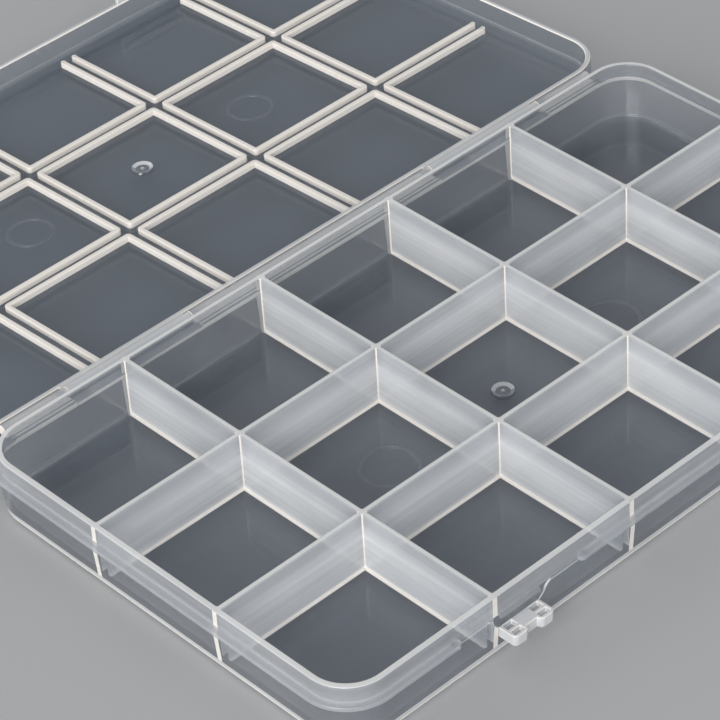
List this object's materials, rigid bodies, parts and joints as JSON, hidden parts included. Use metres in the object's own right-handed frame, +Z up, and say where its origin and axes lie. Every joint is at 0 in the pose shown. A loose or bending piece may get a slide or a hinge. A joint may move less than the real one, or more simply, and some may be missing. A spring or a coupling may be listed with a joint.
{
  "type": "compartment storage box",
  "caption": "Flat translucent storage box: a tray divided into compartments, with a hinged lid laid open behind it, ribbed to close over the dividers and held by snap latches.",
  "frame": {"origin": "centre of the tray's underside, on the surface that it stands on", "axes": "+X along the hinge, +Y from the latched front towards the hinge and the open lid, +Z up"},
  "size_m": [0.1742, 0.2044, 0.0138],
  "materials": {
    "tray_plastic": "translucent natural polypropylene, glossy, milky where thick",
    "lid_plastic": "translucent natural polypropylene, glossy, clear in the plate"
  },
  "bodies": {
    "tray": {"tray_shell": "tray_plastic", "cross_divider_1": "tray_plastic", "cross_divider_2": "tray_plastic", "cross_divider_3": "tray_plastic", "cross_divider_4": "tray_plastic", "long_divider_front": "tray_plastic", "long_divider_back": "tray_plastic", "rim_ledge_left": "tray_plastic", "rim_ledge_back_left": "tray_plastic", "rim_ledge_front": "tray_plastic", "rim_ledge_back_right": "tray_plastic", "rim_ledge_right": "tray_plastic", "tray_hinge_left": "tray_plastic", "tray_hinge_centre": "tray_plastic", "tray_hinge_right": "tray_plastic", "catch_ridge_left": "tray_plastic", "thumb_lip_left": "tray_plastic", "catch_ridge_right": "tray_plastic", "thumb_lip_right": "tray_plastic"},
    "lid": {"lid_panel": "lid_plastic", "lid_rib_frame_front_1": "lid_plastic", "lid_rib_frame_front_2": "lid_plastic", "lid_rib_frame_front_3": "lid_plastic", "lid_rib_frame_front_4": "lid_plastic", "lid_rib_frame_front_5": "lid_plastic", "lid_rib_frame_middle_1": "lid_plastic", "lid_rib_frame_middle_2": "lid_plastic", "lid_rib_frame_middle_3": "lid_plastic", "lid_rib_frame_middle_4": "lid_plastic", "lid_rib_frame_middle_5": "lid_plastic", "lid_rib_frame_back_1": "lid_plastic", "lid_rib_frame_back_2": "lid_plastic", "lid_rib_frame_back_3": "lid_plastic", "lid_rib_frame_back_4": "lid_plastic", "lid_rib_frame_back_5": "lid_plastic", "lid_hinge_left": "lid_plastic", "lid_hinge_right": "lid_plastic"},
    "latch_left": {"latch_tab_left": "lid_plastic"},
    "latch_right": {"latch_tab_right": "lid_plastic"}
  },
  "joints": [
    {"name": "lid_hinge", "type": "hinge", "parent": "tray", "child": "lid", "pos_m": [0, 0.05142, 0.0105], "axis": [1, 0, 0], "range_deg": [0, 182.87]},
    {"name": "latch_flex_left", "type": "hinge", "parent": "lid", "child": "latch_left", "pos_m": [-0.04548, 0.15215, 0.00554], "axis": [-1, 0, 0], "range_deg": [0, 12], "stiffness_Nm_per_rad": 0.2},
    {"name": "latch_flex_right", "type": "hinge", "parent": "lid", "child": "latch_right", "pos_m": [0.04548, 0.15215, 0.00554], "axis": [-1, 0, 0], "range_deg": [0, 12], "stiffness_Nm_per_rad": 0.2}
  ]
}
